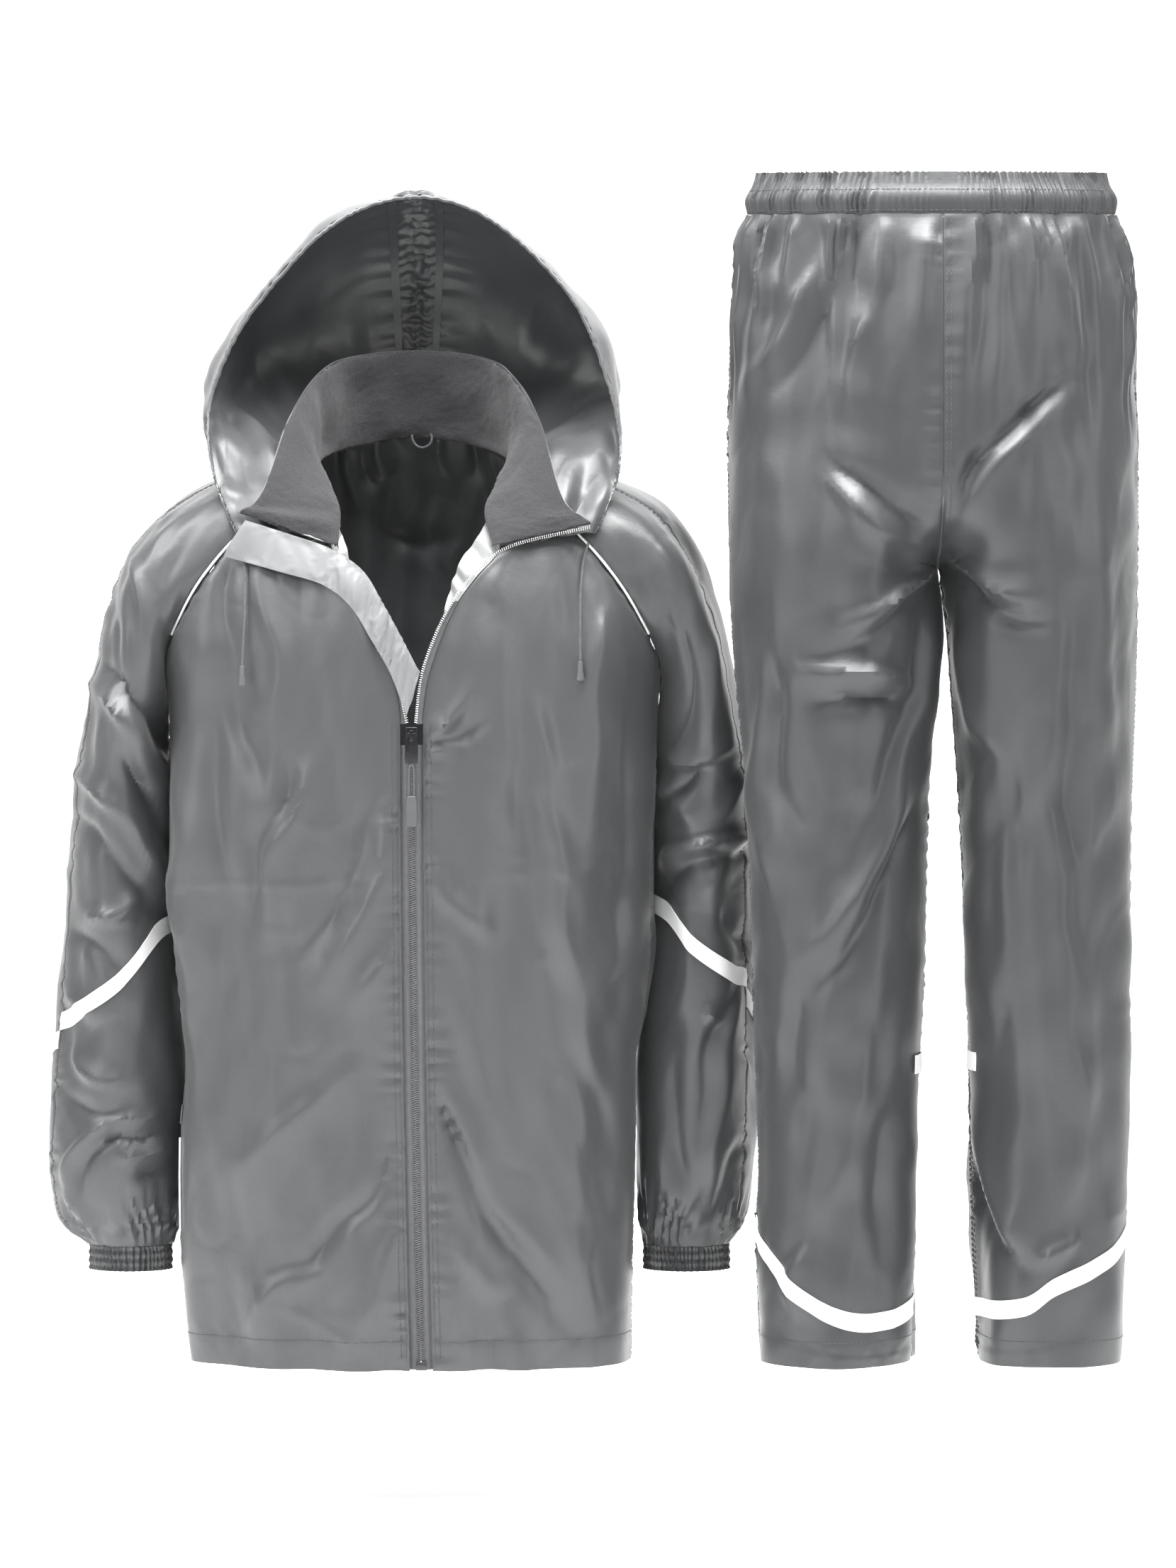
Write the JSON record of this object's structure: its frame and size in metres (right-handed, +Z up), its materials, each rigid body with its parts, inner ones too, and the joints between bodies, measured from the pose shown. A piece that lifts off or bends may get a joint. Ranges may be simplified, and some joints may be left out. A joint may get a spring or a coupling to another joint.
{
  "type": "rain suit, a hooded jacket and trousers",
  "caption": "Waterproof rain suit of grey coated cloth: hooded zip jacket with reflective trim, and elastic-waisted trousers, both filled out as when worn.",
  "frame": {"origin": "between the shoulders, inside the top of the jacket, where the wearer holds it up", "axes": "+Z up, +X to the viewer's right, +Y away from the viewer, so the fronts face -Y"},
  "size_m": [0.9249, 0.3411, 1.0116],
  "materials": {
    "jacket_cloth": "coated taffeta, soft gloss",
    "trouser_cloth": "coated taffeta, soft gloss",
    "silver_cloth": "silver coated back of the cloth",
    "fleece": "short brushed pile, matt",
    "reflective": "reflective tape, fine glass bead surface",
    "zip_tape": "woven tape, matt",
    "zip_coil": "semi-gloss teeth",
    "zip_metal": "dark gunmetal, polished edges",
    "cord": "braided, matt",
    "grip": "moulded, satin"
  },
  "bodies": {
    "rain_suit": {"jacket_front_left": "jacket_cloth", "jacket_front_right": "jacket_cloth", "jacket_back": "jacket_cloth", "sleeve_left_front": "jacket_cloth", "sleeve_left_back": "jacket_cloth", "sleeve_right_front": "jacket_cloth", "sleeve_right_back": "jacket_cloth", "sleeve_stripe_left_front": "reflective", "sleeve_stripe_left_back": "reflective", "sleeve_stripe_right_front": "reflective", "sleeve_stripe_right_back": "reflective", "cuff_left": "jacket_cloth", "cuff_right": "jacket_cloth", "hood_left": "jacket_cloth", "hood_right": "jacket_cloth", "hood_rim": "jacket_cloth", "hood_gather": "jacket_cloth", "collar_shell": "jacket_cloth", "collar_fleece": "fleece", "storm_flap": "silver_cloth", "facing_left": "silver_cloth", "facing_right": "silver_cloth", "zip_tape_left": "zip_tape", "zip_tape_right": "zip_tape", "zip_coil": "zip_coil", "zip_open_coil_left": "zip_coil", "zip_open_coil_right": "zip_coil", "zip_slider": "zip_metal", "zip_bridge": "zip_metal", "zip_bottom_box": "zip_metal", "piping_left": "reflective", "piping_right": "reflective", "pocket_piping": "reflective", "pocket_cord": "cord", "hanger_loop": "cord", "drawcord_left": "cord", "drawcord_right": "cord", "cord_end_left": "grip", "cord_end_right": "grip", "trouser_left_front": "trouser_cloth", "trouser_left_back": "trouser_cloth", "trouser_right_front": "trouser_cloth", "trouser_right_back": "trouser_cloth", "waistband": "trouser_cloth", "leg_stripe_left_front": "reflective", "leg_stripe_left_back": "reflective", "leg_stripe_right_front": "reflective", "leg_stripe_right_back": "reflective"},
    "zip_pull": {"zip_pull_plate": "zip_metal", "zip_pull_cord": "cord", "zip_pull_grip": "grip"}
  },
  "joints": [
    {"name": "pull_swing", "type": "hinge", "parent": "rain_suit", "child": "zip_pull", "pos_m": [0, -0.1346, -0.2051], "axis": [-1, 0, 0], "range_deg": [0, 150]}
  ]
}
